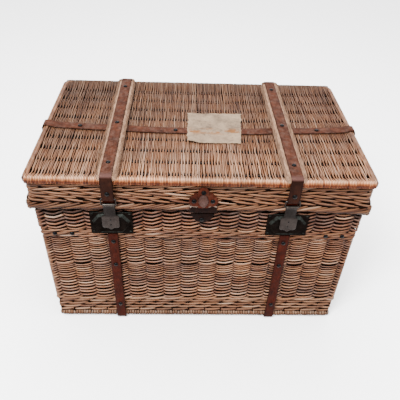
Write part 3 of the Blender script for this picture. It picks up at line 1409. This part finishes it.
# %% Wall straps and hinge leathers
HINGE_FOOT = 0.012
HINGE_TOP = 0.010
skirt_face = skirt_plan[1] + 0.0005
border_face = border_plan[1] + 0.0014
for side in SIDE_OF:
    front_low, front_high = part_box("front_strap_" + side)
    rear_low, rear_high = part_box("rear_strap_" + side)
    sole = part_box("sole_strap_" + side)[0].z + LEATHER
    x = (front_low.x + front_high.x) / 2
    path = spaced(rounded([
        (x, rear_high.y - LEATHER, rear_high.z),
        (x, rear_high.y - LEATHER, sole),
        (x, front_low.y + LEATHER, sole),
        (x, front_low.y + LEATHER, front_high.z),
    ], 0.012), 0.014)
    width = front_high.x - front_low.x
    wall_strap = strap("wall_strap_" + side, path, width, LEATHER - 0.0002, ragged=0.0003)
    finished(wall_strap, "trunk", wall_leather, [
        "front_strap_" + side, "rear_strap_" + side, "sole_strap_" + side,
    ])

    low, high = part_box("hinge_leather_" + side)
    x = (low.x + high.x) / 2
    wall_face = rear_high.y - LEATHER + 0.0004
    path = spaced(rounded([
        (x, skirt_face, high.z),
        (x, skirt_face, border_high + 0.004),
        (x, border_face, border_high - 0.003),
        (x, border_face, border_low + 0.001),
        (x, wall_face, border_low - HINGE_FOOT),
        (x, wall_face, low.z),
    ], 0.006, 4), 0.008)
    hinge = strap("hinge_strip_" + side, path, high.x - low.x, LEATHER - 0.0004, ragged=0.0002)
    hinge.data.materials.append(wall_leather)
    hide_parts("hinge_leather_" + side)
    foot, top = (x, border_face, border_low - HINGE_FOOT), (x, border_face, border_low + HINGE_TOP)
    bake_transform(hinge)
print("The hinge strips bend between", round(foot[2], 3), "and", round(top[2], 3), "m")

# %% [markdown]
# Two leather patches meet in the middle of the front: the upper one with three lobes and
# a domed keeper, and the lower one that a tongue once closed on. What is left between them
# is a dark apron with a torn, pale edge. The upper patch leans outwards over the border.

# %% Patches
def outline_piece(name, outline, face, thickness, edge=LEATHER_ROUND):
    """A flat piece cut to an outline of x and z, its back at y = face."""
    piece = primitive(
        name, bpy.ops.mesh.primitive_circle_add, vertices=len(outline), fill_type="NGON", radius=1,
    )
    for vertex, (x, z) in zip(piece.data.vertices, outline):
        vertex.co = (x, face, z)
    with editing():
        bpy.ops.mesh.select_all(action="SELECT")
        bpy.ops.mesh.normals_make_consistent(inside=False)
    if piece.data.polygons[0].normal.y > 0:
        piece.data.flip_normals()
    return thicken(piece, thickness, edge)


def arc(centre, radius, first, last, steps=10):
    """Points on a circle's part, in degrees."""
    turns = np.radians(np.linspace(first, last, steps))
    return [(centre[0] + radius * math.cos(turn), centre[1] + radius * math.sin(turn)) for turn in turns]


patch_low, patch_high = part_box("upper_patch")
patch_x = (patch_low.x + patch_high.x) / 2
LOBE = 0.0145
NOTCH = 0.0085
NOTCH_OUT = 0.0185
PATCH_DROP = 0.002
PATCH_STRETCH = 1.12
PATCH_LEAN = 0.17


def leaned(y, z):
    """The upper patch hangs from the skirt and stands off it at the bottom, over the border."""
    below = (patch_high.z - z) * PATCH_STRETCH + PATCH_DROP
    return y - below * PATCH_LEAN, patch_high.z - below


def lean_piece(piece):
    for vertex in piece.data.vertices:
        vertex.co.y, vertex.co.z = leaned(vertex.co.y, vertex.co.z)


top_lobe = (patch_x, patch_high.z - LOBE)
side_level = top_lobe[1] - 0.0205
notch_level = side_level + 0.0125
outline = arc(top_lobe, LOBE, -22, 202)
outline += arc((patch_x - NOTCH_OUT, notch_level), NOTCH, 80, 150, 5)
outline += arc((patch_low.x + LOBE, side_level), LOBE, 95, 285)
outline += [(patch_x - 0.015, side_level - 0.014), (patch_x - 0.012, patch_low.z - 0.004)]
outline += [(patch_x + 0.012, patch_low.z - 0.004), (patch_x + 0.015, side_level - 0.014)]
outline += arc((patch_high.x - LOBE, side_level), LOBE, -105, 85)
outline += arc((patch_x + NOTCH_OUT, notch_level), NOTCH, 30, 100, 5)
upper_patch = outline_piece("lobed_patch", outline, patch_high.y, patch_high.y - patch_low.y)
lean_piece(upper_patch)
finished(upper_patch, "lid", patch_leather, ["upper_patch"])

# %% [markdown]
# The apron is a rectangle whose upper edge wanders, and on each side of the patch a thin
# strip of torn, bare leather lies on it.

# %% The torn apron
APRON_HALF = 0.034
APRON_FLARE = 0.002
APRON_THICK = 0.0016
TORN_BELOW = 0.0065
TORN_THICK = 0.0010
apron_face = border_plan[1] + 0.0006
apron_top, apron_foot = border_high + 0.004, border_low + 0.001
across = np.linspace(-APRON_HALF, APRON_HALF, 16)
edge = draws.normal(0, 0.0011, 16) + apron_top
outline = [(patch_x + x, z) for x, z in zip(across, edge)]
outline += [(patch_x + way * (APRON_HALF + APRON_FLARE), apron_foot) for way in (1, -1)]
apron = outline_piece("torn_apron", outline, -apron_face, APRON_THICK)
finished(apron, "lid", dark_leather)
for side, way in SIDE_OF.items():
    across = np.linspace(0.0125, APRON_HALF + 0.001, 9)
    upper_edge = apron_top - TORN_BELOW + draws.normal(0, 0.0006, 9)
    lower_edge = upper_edge - draws.uniform(0.0022, 0.0068, 9)
    outline = [(patch_x + way * x, z) for x, z in zip(across, upper_edge)]
    outline += [(patch_x + way * x, z) for x, z in zip(across[::-1], lower_edge[::-1])]
    torn_face = -apron_face - APRON_THICK
    torn = outline_piece("torn_edge_" + side, outline[::-way], torn_face, TORN_THICK, 0.0003)
    finished(torn, "lid", torn_leather)

# %% [markdown]
# The lower tab is a rounded tongue of dark leather. The keeper that it once went through
# is a dome, wide above and narrow below, made from a sphere.

# %% Lower tab and keeper
TAB_SHOULDER = 0.006
TAB_ROUND = 1.25
low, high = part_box("lower_patch")
middle = (low.x + high.x) / 2
half = (high.x - low.x) / 2
outline = [(low.x, high.z), (low.x + 0.001, high.z - TAB_SHOULDER)]
for turn in np.radians(np.linspace(190, 350, 15)):
    wide = math.copysign(abs(math.cos(turn)) ** TAB_ROUND, math.cos(turn))
    outline.append((middle + half * 0.86 * wide, high.z - 0.007 + (high.z - 0.005 - low.z) * math.sin(turn)))
outline += [(high.x - 0.001, high.z - TAB_SHOULDER), (high.x, high.z)]
lower_patch = outline_piece("lower_tab", outline, high.y, high.y - low.y)
finished(lower_patch, "trunk", dark_leather, ["lower_patch"])

KEEPER_TALL = 1.30
KEEPER_DEEP = 1.7
KEEPER_RAISED = 0.0060
low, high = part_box("keeper")
size = (high - low) / 2
keeper = primitive("keeper_dome", bpy.ops.mesh.primitive_uv_sphere_add, segments=24, ring_count=14, radius=1)
for vertex in keeper.data.vertices:
    x, y, z = vertex.co
    narrow = 1 - 0.10 * max(0.0, z) - 0.34 * max(0.0, -z) ** 1.5
    vertex.co = (
        patch_x + size.x * x * narrow,
        high.y + min(0.0, y) * KEEPER_DEEP * size.y,
        (low.z + high.z) / 2 + KEEPER_RAISED + size.z * KEEPER_TALL * z,
    )
lean_piece(keeper)
finished(keeper, "lid", keeper_leather, ["keeper"])
bpy.ops.object.shade_smooth()
print("patches done, keeper", [round(value * 2000) for value in size], "mm")

# %% [markdown]
# A lock plate is stamped from one sheet: a flat flange and a raised octagon with sloping
# sides. A rectangle with its corners bevelled becomes the octagon, and one inset with
# depth makes the slope.

# %% Lock plates and cases
CASE_CUT = 0.025
CASE_SIDE_CUT = 0.019
CASE_SLOPE = 0.0052
squeeze = CASE_SIDE_CUT / CASE_CUT
for side in SIDE_OF:
    low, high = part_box("lock_plate_" + side)
    corners = [(low.x, low.z), (high.x, low.z), (high.x, high.z), (low.x, high.z)]
    plate = outline_piece("lock_flange_" + side, corners, high.y, high.y - low.y, 0.0008)
    finished(plate, "trunk", black_iron, ["lock_plate_" + side])

    low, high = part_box("lock_case_" + side)
    case = primitive("lock_hood_" + side, bpy.ops.mesh.primitive_plane_add, size=1)
    corners = [(x, z) for z in (low.z, high.z) for x in (low.x, high.x)]
    for vertex, (x, z) in zip(case.data.vertices, corners):
        vertex.co = (x / squeeze, high.y, z)
    with editing():
        bpy.ops.mesh.select_all(action="SELECT")
        bpy.ops.mesh.bevel(offset=CASE_CUT, affect="VERTICES")
        bpy.ops.mesh.select_all(action="SELECT")
        bpy.ops.transform.resize(value=(squeeze, 1, 1), center_override=(0, 0, 0))
        for width, depth in ((CASE_SLOPE, high.y - low.y), (0.0022, 0.0), (0.0012, -0.0012)):
            bpy.ops.mesh.inset(thickness=width, depth=depth)
    change(case, "BEVEL", width=0.0009, segments=3, angle_limit=math.radians(15))
    smooth(30)
    finished(case, "trunk", black_iron, ["lock_case_" + side])
    print(case.name, "has", len(case.data.polygons), "faces")

# %% [markdown]
# A hasp is drawn like a strap: narrow at the neck, wide at the shield, and curled round
# the ring's lower bar at the top. The ring itself is bent wire.

# %% Hasps and rings
HASP = 0.002
HASP_NECK = 0.030
KNUCKLE = 0.00405
WIRE_FIT = 0.98


def wire_loop(corners, bend, wire):
    """A closed wire bent round its corners."""
    loop = rounded(corners + corners[:2], bend, 4)[1:-1]
    return rod(np.array([list(point) for point in loop]), wire * WIRE_FIT, 0.5, True)


for side in SIDE_OF:
    low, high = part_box("hasp_" + side)
    x = (low.x + high.x) / 2
    bar = ring_bar(side, x, False)
    back = bar.y + KNUCKLE
    foot = low.z
    wide = high.x - low.x
    rows = [
        (0.0, 0.003), (0.0026, 0.009), (0.0052, 0.017), (0.0058, wide - 0.011),
        (0.0072, wide - 0.005), (0.0100, wide - 0.001), (0.0130, wide), (0.0455, wide),
        (0.0478, wide - 0.003), (0.0492, wide - 0.008), (0.0498, HASP_NECK + 0.002), (0.053, HASP_NECK),
        (0.070, HASP_NECK), (bar.z - foot, HASP_NECK),
    ]
    curl = round_bar(bar, KNUCKLE, range(20, 261, 20))
    path = [Vector((x, back, foot + above)) for above, width in rows] + curl
    widths = [width for above, width in rows] + [HASP_NECK] * len(curl)
    hasp = strap("hasp_plate_" + side, path, widths, HASP - 0.0001, edge=0.0006)
    finished(hasp, "hasp_" + side, pewter, ["hasp_" + side])
    for number, level in enumerate((0.0165, 0.0335)):
        rivet = primitive(
            f"hasp_rivet_{side}_{number}", bpy.ops.mesh.primitive_uv_sphere_add,
            segments=14, ring_count=10, radius=1,
        )
        bpy.ops.transform.resize(value=(0.0021, 0.0013, 0.0021))
        bpy.ops.transform.translate(value=(x, back - HASP, foot + level))
        bpy.ops.object.transform_apply(location=True, rotation=True, scale=True)
        bpy.ops.object.shade_smooth()
        finished(rivet, "hasp_" + side, stud_metal)

    low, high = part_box("ring_" + side)
    left_x, right_x = low.x + RING_WIRE, high.x - RING_WIRE
    foot, top = low.z + RING_WIRE, high.z - RING_WIRE
    corners = [(left_x, bar.y, foot), (right_x, bar.y, foot), (right_x, bar.y, top), (left_x, bar.y, top)]
    ring = make_rods("ring_wire_" + side, [wire_loop(corners, 0.004, RING_WIRE)], 12)
    finished(ring, "ring_" + side, bronze_wire, ["ring_" + side])

# %% [markdown]
# Studs are domed nails. One dome is modelled and then copied to every place where the CAD
# model has a stud, turned to face the same way. A stud that sits on something which has
# leaned or sunk goes with it.

# %% Studs and rivets
SAME_PLACE = 0.00002


def parts_of(node):
    """Boxes of the separate bodies of a CAD node."""
    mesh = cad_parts[node].data
    places = np.array([vertex.co for vertex in mesh.vertices])
    keys = np.round(places / SAME_PLACE).astype(int)
    which = np.unique(keys, axis=0, return_inverse=True)[1].ravel()
    edges = which[np.array([edge.vertices for edge in mesh.edges])]
    body = np.arange(which.max() + 1)
    before = None
    while before is None or (before != body).any():
        before = body.copy()
        lowest = body[edges].min(axis=1)
        for end in (0, 1):
            np.minimum.at(body, edges[:, end], lowest)
    groups = {}
    for label, place in zip(body[which], places):
        groups.setdefault(label, []).append(place)
    return [(Vector(np.min(group, axis=0)), Vector(np.max(group, axis=0))) for group in groups.values()]


def dome(name):
    """A half ball of radius 1 with a flat back, looking up."""
    ball = primitive(name, bpy.ops.mesh.primitive_uv_sphere_add, segments=14, ring_count=10, radius=1)
    with editing():
        bpy.ops.mesh.select_all(action="SELECT")
        bpy.ops.mesh.bisect(plane_co=(0, 0, 0.02), plane_no=(0, 0, 1), use_fill=True, clear_inner=True)
    smooth(50)
    return ball


def copies(name, pattern, places):
    """Copies of a pattern, each with its own mesh, at places given as point and direction."""
    made = []
    for point, direction, size in places:
        turn = Vector(direction).to_track_quat("Z", "Y").to_matrix().to_4x4()
        twin = pattern.copy()
        twin.data = pattern.data.copy()
        twin.data.transform(Matrix.Translation(point) @ turn @ Matrix.Diagonal((*size, 1)))
        bpy.context.scene.collection.objects.link(twin)
        made.append(twin)
    print(name, len(places), "copies")
    return join(made, name)


STUD_GROWTH = 1.18
PATCH_HALF = 0.05


def resting_place(base, thin, way):
    """Where a stud sits once the patches have leaned and the weave has sunk."""
    on_patch = thin == 1 and way < 0 and abs(base[0] - patch_x) < PATCH_HALF
    if on_patch and base[2] > border_high:
        return (base[0], *leaned(base[1], base[2]))
    if on_patch and base[2] < border_low:
        return base[0] - 0.002, base[1], base[2] - 0.006
    beside_batten = min(abs(abs(base[0]) - BATTEN_OUT), 0.04) > 0.03
    if thin == 2 and abs(base[1] - cross_y) < 0.02 and beside_batten:
        y, z = strap_rest(base[0])
        return base[0], y, z + CROSS_THICK
    return base


def stud_places(node):
    """Where each stud of a node sits, the way it faces, and its size."""
    places = []
    for low, high in parts_of(node):
        size = high - low
        middle = (low + high) / 2
        thin = min(range(3), key=lambda axis: size[axis])
        way = 1 if thin == 2 or middle[thin] > 0 else -1
        direction = [0, 0, 0]
        direction[thin] = way
        base = list(middle)
        base[thin] = low[thin] if way > 0 else high[thin]
        radius = max(size[axis] for axis in range(3) if axis != thin) / 2 * STUD_GROWTH
        point = Vector(resting_place(base, thin, way))
        places.append((point, direction, (radius, radius, size[thin] * STUD_GROWTH)))
    return places


pattern = dome("stud_pattern")
for node, body, slot_name, metal in (
    ("body_studs", "trunk", "stud_iron", stud_metal),
    ("lid_studs", "lid", "stud_iron", stud_metal),
    ("lock_rivets", "trunk", "dark_iron", black_iron),
):
    heads = copies(node + "_domes", pattern, stud_places(node))
    finished(heads, body, metal, [node])
bpy.data.objects.remove(pattern)

# %% [markdown]
# The label is a square of canvas with frayed edges. It lies on the weave and rides over
# the cross strap, and one corner has come unstuck.

# %% Label
label_low, label_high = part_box("label")
LABEL_CELLS = 44
LABEL_BACK = 0.011
LABEL_PULLS = (-0.0043, -0.0055, -0.0020, 0.0090)
LABEL_FRAY = 0.0017
FRAYED_FROM = 0.85
CURLS_FROM = 0.55
CURLED_CORNER = 0.009
LABEL_WAVE = 0.0012
LABEL_RIPPLE = 0.0006
LABEL_FORWARD = 0.006
LABEL_LIFT = 0.0026
LIFT_WIDTH = 0.012
label = primitive(
    "canvas_label", bpy.ops.mesh.primitive_grid_add,
    x_subdivisions=LABEL_CELLS, y_subdivisions=LABEL_CELLS, size=1,
)
label_high.y += LABEL_BACK
label_size = label_high - label_low
label_middle = (label_low + label_high) / 2
frays = draws.normal(0, 1.0, (4, LABEL_CELLS + 1))
frays = np.array([np.convolve(np.pad(row, 1, mode="edge"), [0.3, 0.4, 0.3], mode="valid") for row in frays])


def fray(along, outwards, low_side, high_side):
    """How far an edge's thread is pulled; places on the label run from -1 to 1."""
    pulls = low_side if outwards < 0 else high_side
    place = round((along + 1) / 2 * LABEL_CELLS)
    return LABEL_FRAY * pulls[place] * max(0.0, abs(outwards) - FRAYED_FROM) / (1 - FRAYED_FROM)


for vertex in label.data.vertices:
    u, v = vertex.co.x * 2, vertex.co.y * 2
    shares = ((1 - u) * (1 - v), (1 + u) * (1 - v), (1 - u) * (1 + v), (1 + u) * (1 + v))
    skew = sum(share * pull for share, pull in zip(shares, LABEL_PULLS)) / 4
    x = label_middle.x + u * (label_size.x / 2 - 0.002) + fray(v, u, frays[0], frays[1]) + skew
    y = label_middle.y + v * (label_size.y / 2 - 0.002) + fray(u, v, frays[2], frays[3])
    y += LABEL_WAVE * math.sin(u * 3) + LABEL_FORWARD
    rest = float(lid_level(np.float64(x), np.float64(y))) + 0.0006
    from_strap = max(0.0, abs(y - strap_rest(x)[0]) - cross_width / 2 + 0.001)
    rest += LABEL_LIFT * eased(max(0.0, 1 - from_strap / LIFT_WIDTH))
    curl = max(0.0, (-0.8 * u - 1.2 * v) / 2 - CURLS_FROM) / (1 - CURLS_FROM)
    rest += CURLED_CORNER * curl * curl
    rest += LABEL_RIPPLE * math.sin(7 * u + 2) * math.sin(6 * v + 1)
    vertex.co = (x, y, rest)
thicken(label, 0.0006, 0.0002)
finished(label, "lid", canvas.material, ["label"])

# %% [markdown]
# A carrying handle hangs at each end. A leather tab is folded round the upper bar of a
# wire loop and nailed to the mid wale, and the stuffed grip is rolled round the lower bar.
# The grip's cover is closed by a seam, whose stitches are rods a few millimetres long.

# %% Handles
LOOP_WIRE = 0.0025
GRIP_BEND = 0.034
STITCH = 0.0034
STITCH_STEP = 0.0055
THREAD_SHADES = [(0.35, (0.055, 0.040, 0.026)), (0.65, (0.115, 0.090, 0.062))]
GRIP_ROLL = 0.007
thread = Finish("thread", 0.8)
twist = thread.noise(700.0, detail=2.0)
thread.set("Base Color", thread.ramp(twist, THREAD_SHADES))
thread.bump(twist, 0.0004)


def tab_bar(low, high):
    """The bar that a tab is folded round, and how thick each of its leaves is."""
    middle = (low + high) / 2
    leaf = (high.x - low.x) / 2 - LOOP_WIRE - WIRE_ROOM
    return Vector((middle.x, middle.y, low.z + LOOP_WIRE + WIRE_ROOM + leaf)), leaf


def folded_tab(name, low, high):
    """A leather tab folded upwards round a bar."""
    bar, leaf = tab_bar(low, high)
    hold = LOOP_WIRE + WIRE_ROOM
    halfway = (high.z + bar.z) / 2
    path = [Vector((bar.x - hold, bar.y, high.z)), Vector((bar.x - hold, bar.y, halfway))]
    path += round_bar(bar, hold, range(180, 361, 30), "y")
    path += [Vector((bar.x + hold, bar.y, halfway)), Vector((bar.x + hold, bar.y, high.z))]
    return strap(name, path, high.y - low.y, leaf - 0.0001, wide="y", ragged=0.0002)


def grip_end(place):
    """The grip's leather where it is rolled round a loop's lower bar."""
    end = primitive(
        "grip_end", bpy.ops.mesh.primitive_cylinder_add, vertices=18, radius=GRIP_ROLL - 0.0002,
        depth=0.0255, location=place, rotation=(math.pi / 2, 0, 0),
    )
    bpy.ops.object.transform_apply(location=True, rotation=True, scale=True)
    change(end, "BEVEL", width=0.0016, segments=2)
    smooth(60)
    return end


for side in SIDE_OF:
    tabs = sorted(parts_of("handle_tabs_" + side), key=lambda box: box[0].y)
    folded = [folded_tab("tab_" + side, low, high) for low, high in tabs]
    tab = join(folded, "handle_tab_leather_" + side)
    finished(tab, "trunk", wall_leather, ["handle_tabs_" + side])

    grip_low, grip_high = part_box("handle_grip_" + side)
    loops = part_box("handle_loops_" + side)
    hang_x = (grip_low.x + grip_high.x) / 2
    thick = (grip_high.x - grip_low.x) / 2
    roll_z = grip_high.z - GRIP_ROLL
    reach = (loops[1].y - loops[0].y) / 2 - LOOP_WIRE
    bars = [tab_bar(low, high)[0] for low, high in tabs]
    wires = []
    for bar in bars:
        near, far = bar.y - (reach - abs(bar.y)), bar.y + (reach - abs(bar.y))
        corners = [(bar.x, near, bar.z), (bar.x, far, bar.z), (hang_x, far, roll_z), (hang_x, near, roll_z)]
        wires.append(wire_loop(corners, 0.005, LOOP_WIRE))
    wire = make_rods("loop_wire_" + side, wires, 10)
    finished(wire, "handle_" + side, bronze_wire, ["handle_loops_" + side])

    near, far = bars[0].y, bars[-1].y
    run_z = grip_low.z + thick
    corners = [(hang_x, near, roll_z), (hang_x, near, run_z), (hang_x, far, run_z), (hang_x, far, roll_z)]
    path = spaced(rounded(corners, GRIP_BEND, 9), 0.009)
    along = np.cumsum([0.0] + [(after - before).length for before, after in zip(path, path[1:])])
    share = np.clip((along / along[-1] - 0.12) / 0.76, 0, 1)
    swell = 0.62 + 0.36 * np.sin(np.pi * share) ** 0.6
    line = np.array([list(point) for point in path])
    cover = make_rods("grip_cover_" + side, [rod(line, thick * swell, 0.5)], 14)
    ends = [grip_end((hang_x, bar.y, roll_z)) for bar in bars]
    cover = join([cover, *ends], cover.name)
    finished(cover, "handle_" + side, grip_leather, ["handle_grip_" + side])

    stitches = []
    for number in range(int((far - near - 2 * GRIP_BEND) / STITCH_STEP) + 1):
        y = near + GRIP_BEND + number * STITCH_STEP
        z = run_z + np.interp(y, line[:, 1], swell) * thick * 0.98
        stitches.append(rod(np.array([(hang_x, y, z), (hang_x, y + STITCH, z)]), 0.0006, 0.5))
    seam = make_rods("grip_seam_" + side, stitches)
    finished(seam, "handle_" + side, thread.material)

# %% [markdown]
# Inside, each nail is clenched over a steel washer. These stay as the CAD model has them
# and only get their metal.

# %% Washers
for node in ("body_washers", "lid_washers"):
    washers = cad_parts[node]
    washers.data.materials.clear()
    washers.data.materials.append(washer_steel)
    print(node, "have their metal")

# %% [markdown]
# The photograph was taken from above the front edge, so the camera stands high and looks
# down at nearly forty degrees. The lamps are large and soft, as in a product studio.

# %% Camera, floor and light
CAMERA_PLACE = (-0.0509, -1.2013, 1.2586)
LOOK_DOWN = 39.35
LOOK_RIGHT = 2.84
ROLL_LEFT = 2.63
PHOTO_WIDTH = 400
FOCAL_PIXELS = 471.1
SENSOR = 36.0

bpy.ops.object.camera_add(location=CAMERA_PLACE)
camera = bpy.context.object
camera.rotation_mode = "QUATERNION"
turn = Matrix.Rotation(math.radians(-LOOK_RIGHT), 3, "Z")
tip = Matrix.Rotation(math.radians(90 - LOOK_DOWN), 3, "X")
roll = Matrix.Rotation(math.radians(ROLL_LEFT), 3, "Z")
camera.rotation_quaternion = (turn @ tip @ roll).to_quaternion()
camera.data.sensor_width = SENSOR
camera.data.lens = FOCAL_PIXELS / PHOTO_WIDTH * SENSOR
bpy.context.scene.camera = camera

paper = Finish("paper", 0.9)
paper.shader.inputs["Base Color"].default_value = (0.97, 0.97, 0.975, 1)
floor = primitive("floor", bpy.ops.mesh.primitive_plane_add, size=12, location=(0, 0, 0))
floor.data.materials.append(paper.material)
floor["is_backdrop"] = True

world = bpy.data.worlds.new("studio")
bpy.context.scene.world = world
world.use_nodes = True
backdrop = world.node_tree.nodes["Background"].inputs
backdrop["Color"].default_value = (1, 1, 1, 1)
backdrop["Strength"].default_value = 3.2
LAMPS_FACE = Vector((0, 0, 0.3))
for name, place, size, power in (
    ("key", (-0.9, -1.5, 2.7), 0.9, 300),
    ("fill", (2.2, -1.4, 1.6), 1.8, 60),
    ("top", (0.2, 1.2, 2.6), 1.4, 90),
):
    bpy.ops.object.light_add(type="AREA", location=place)
    light = bpy.context.object
    light.name = name
    light.data.size = size
    light.data.energy = power
    light.rotation_euler = (LAMPS_FACE - Vector(place)).to_track_quat("-Z", "Y").to_euler()
    print("lamp", name, "of", power, "W")

# %% Size of the finished model
low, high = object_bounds()
print("visual box", [round(value, 4) for value in (*low, *high)])
